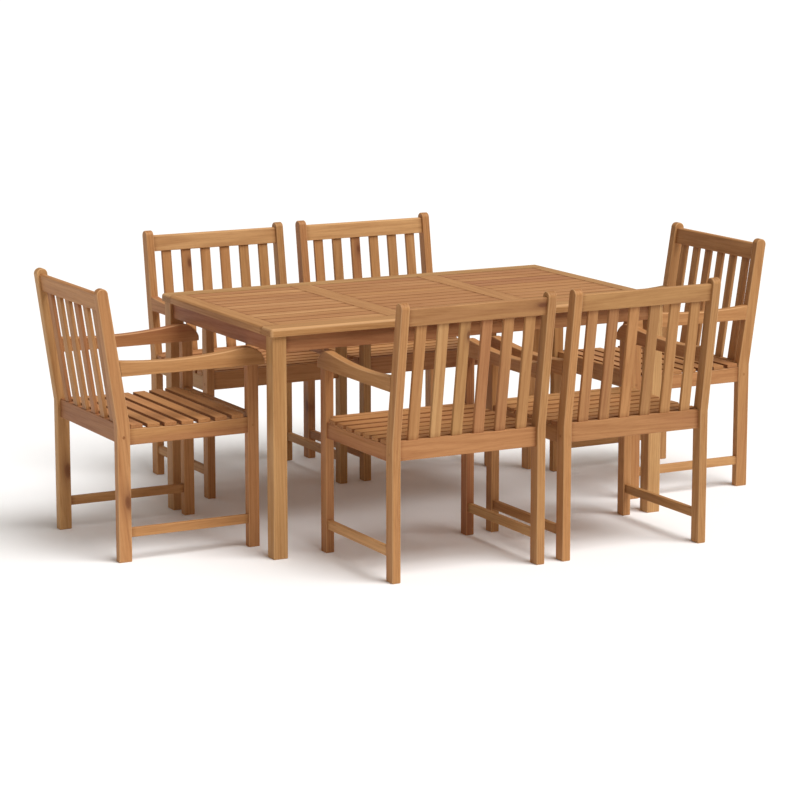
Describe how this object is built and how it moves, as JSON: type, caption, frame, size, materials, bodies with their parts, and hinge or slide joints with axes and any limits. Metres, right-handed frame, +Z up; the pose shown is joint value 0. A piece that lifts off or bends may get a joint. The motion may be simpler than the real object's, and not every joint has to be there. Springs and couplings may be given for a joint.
{
  "type": "patio dining set",
  "caption": "Rectangular slatted hardwood garden table with slatted high-back armchairs set round it, each chair free to slide in and out.",
  "frame": {"origin": "on the ground, under the middle of the whole set's box", "axes": "+X along the table's length, +Y from the near long side to the far one, +Z up"},
  "size_m": [2.5706, 1.9916, 0.8942],
  "materials": {
    "table_wood": "oiled hardwood, satin",
    "chair_wood": "oiled hardwood, satin",
    "plug_wood": "oiled hardwood, end grain"
  },
  "bodies": {
    "table": {"table_legs": "table_wood", "table_aprons": "table_wood", "table_long_rails": "table_wood", "table_end_rails": "table_wood", "table_cross_rails": "table_wood", "table_slats": "table_wood"},
    "chair_left_end": {"chair_left_end_rear_posts": "chair_wood", "chair_left_end_front_legs": "chair_wood", "chair_left_end_arms": "chair_wood", "chair_left_end_crest_rail": "chair_wood", "chair_left_end_back_slats": "chair_wood", "chair_left_end_seat_rails": "chair_wood", "chair_left_end_seat_slats": "chair_wood", "chair_left_end_stretchers": "chair_wood", "chair_left_end_plugs": "plug_wood"},
    "chair_near_left": {"chair_near_left_rear_posts": "chair_wood", "chair_near_left_front_legs": "chair_wood", "chair_near_left_arms": "chair_wood", "chair_near_left_crest_rail": "chair_wood", "chair_near_left_back_slats": "chair_wood", "chair_near_left_seat_rails": "chair_wood", "chair_near_left_seat_slats": "chair_wood", "chair_near_left_stretchers": "chair_wood", "chair_near_left_plugs": "plug_wood"},
    "chair_near_right": {"chair_near_right_rear_posts": "chair_wood", "chair_near_right_front_legs": "chair_wood", "chair_near_right_arms": "chair_wood", "chair_near_right_crest_rail": "chair_wood", "chair_near_right_back_slats": "chair_wood", "chair_near_right_seat_rails": "chair_wood", "chair_near_right_seat_slats": "chair_wood", "chair_near_right_stretchers": "chair_wood", "chair_near_right_plugs": "plug_wood"},
    "chair_far_left": {"chair_far_left_rear_posts": "chair_wood", "chair_far_left_front_legs": "chair_wood", "chair_far_left_arms": "chair_wood", "chair_far_left_crest_rail": "chair_wood", "chair_far_left_back_slats": "chair_wood", "chair_far_left_seat_rails": "chair_wood", "chair_far_left_seat_slats": "chair_wood", "chair_far_left_stretchers": "chair_wood", "chair_far_left_plugs": "plug_wood"},
    "chair_far_right": {"chair_far_right_rear_posts": "chair_wood", "chair_far_right_front_legs": "chair_wood", "chair_far_right_arms": "chair_wood", "chair_far_right_crest_rail": "chair_wood", "chair_far_right_back_slats": "chair_wood", "chair_far_right_seat_rails": "chair_wood", "chair_far_right_seat_slats": "chair_wood", "chair_far_right_stretchers": "chair_wood", "chair_far_right_plugs": "plug_wood"},
    "chair_right_end": {"chair_right_end_rear_posts": "chair_wood", "chair_right_end_front_legs": "chair_wood", "chair_right_end_arms": "chair_wood", "chair_right_end_crest_rail": "chair_wood", "chair_right_end_back_slats": "chair_wood", "chair_right_end_seat_rails": "chair_wood", "chair_right_end_seat_slats": "chair_wood", "chair_right_end_stretchers": "chair_wood", "chair_right_end_plugs": "plug_wood"}
  },
  "joints": [
    {"name": "chair_left_end_slide", "type": "slide", "parent": "table", "child": "chair_left_end", "axis": [-1, 0, 0], "range_m": [-0.1, 0.4]},
    {"name": "chair_near_left_slide", "type": "slide", "parent": "table", "child": "chair_near_left", "axis": [0, -1, 0], "range_m": [-0.35, 0.4]},
    {"name": "chair_near_right_slide", "type": "slide", "parent": "table", "child": "chair_near_right", "axis": [0, -1, 0], "range_m": [-0.35, 0.4]},
    {"name": "chair_far_left_slide", "type": "slide", "parent": "table", "child": "chair_far_left", "axis": [0, 1, 0], "range_m": [-0.44, 0.4]},
    {"name": "chair_far_right_slide", "type": "slide", "parent": "table", "child": "chair_far_right", "axis": [0, 1, 0], "range_m": [-0.44, 0.4]},
    {"name": "chair_right_end_slide", "type": "slide", "parent": "table", "child": "chair_right_end", "axis": [1, 0, 0], "range_m": [-0.09, 0.4]}
  ]
}
